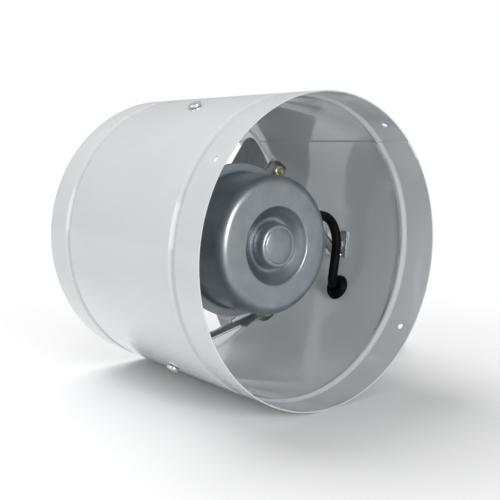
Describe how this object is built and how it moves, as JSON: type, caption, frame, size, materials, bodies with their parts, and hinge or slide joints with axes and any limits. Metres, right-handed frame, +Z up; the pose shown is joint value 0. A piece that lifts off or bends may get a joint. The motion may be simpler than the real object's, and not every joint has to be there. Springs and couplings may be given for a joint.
{
  "type": "inline duct fan",
  "caption": "Inline duct fan: a rolled white steel duct with a can motor on strap arms, a riveted steel impeller and a black mains lead through its wall.",
  "frame": {"origin": "on the surface the fan lies on, under the middle of the duct's length and its axis", "axes": "+Y along the duct's axis from its motor end to its impeller end, +Z up, +X to the side where the mains lead leaves"},
  "size_m": [0.2853, 0.2683, 0.1998],
  "materials": {
    "white_enamel": "glossy off-white stoved enamel on rolled sheet",
    "motor_steel": "satin blue-grey zinc on drawn steel",
    "blade_steel": "dull dark grey pressed steel",
    "zinc_plate": "bright zinc plate",
    "yellow_zinc": "pale yellow zinc plate",
    "core_steel": "stacked electrical steel sheet",
    "copper": "enamelled copper wire",
    "cast_aluminium": "die-cast aluminium",
    "bright_steel": "ground bright steel",
    "bronze": "sintered oil bronze",
    "black_rubber": "matt black rubber",
    "black_pvc": "satin black flexible cable sheath",
    "pin_brass": "plated brass pins"
  },
  "bodies": {
    "casing": {"bearing_bush_front": "bronze", "bearing_bush_rear": "bronze", "bearing_retainer_front": "bright_steel", "bearing_retainer_rear": "bright_steel", "cord_coil": "black_pvc", "cord_tail": "black_pvc", "cord_tie": "black_pvc", "duct_shell": "white_enamel", "ear_nut_1": "yellow_zinc", "ear_nut_2": "yellow_zinc", "ear_nut_3": "yellow_zinc", "ear_screw_1": "yellow_zinc", "ear_screw_2": "yellow_zinc", "ear_screw_3": "yellow_zinc", "foot_nut_1": "zinc_plate", "foot_nut_2": "zinc_plate", "foot_nut_3": "zinc_plate", "foot_screw_1": "zinc_plate", "foot_screw_2": "zinc_plate", "foot_screw_3": "zinc_plate", "mains_cord": "black_pvc", "motor_can_front": "motor_steel", "motor_can_rear": "motor_steel", "motor_gland": "black_rubber", "motor_lead": "black_pvc", "plug_blade_left": "pin_brass", "plug_blade_right": "pin_brass", "plug_body": "black_pvc", "plug_earth_pin": "pin_brass", "stator_core": "core_steel", "stator_winding": "copper", "strap_arm_1": "zinc_plate", "strap_arm_2": "zinc_plate", "strap_arm_3": "zinc_plate", "wall_grommet": "black_rubber"},
    "rotor": {"blade_rivet_1_1": "cast_aluminium", "blade_rivet_1_2": "cast_aluminium", "blade_rivet_2_1": "cast_aluminium", "blade_rivet_2_2": "cast_aluminium", "blade_rivet_3_1": "cast_aluminium", "blade_rivet_3_2": "cast_aluminium", "blade_rivet_4_1": "cast_aluminium", "blade_rivet_4_2": "cast_aluminium", "blade_rivet_5_1": "cast_aluminium", "blade_rivet_5_2": "cast_aluminium", "hub_set_screw": "bright_steel", "impeller_blade_1": "blade_steel", "impeller_blade_2": "blade_steel", "impeller_blade_3": "blade_steel", "impeller_blade_4": "blade_steel", "impeller_blade_5": "blade_steel", "impeller_hub": "cast_aluminium", "impeller_spider": "blade_steel", "motor_shaft": "bright_steel", "rotor_core": "core_steel", "rotor_end_ring_front": "cast_aluminium", "rotor_end_ring_rear": "cast_aluminium", "thrust_washer_front": "bronze", "thrust_washer_rear": "bronze"}
  },
  "joints": [
    {"name": "impeller_spin", "type": "hinge", "parent": "casing", "child": "rotor", "pos_m": [0, 0, 0.0999], "axis": [0, 1, 0], "continuous": true}
  ]
}
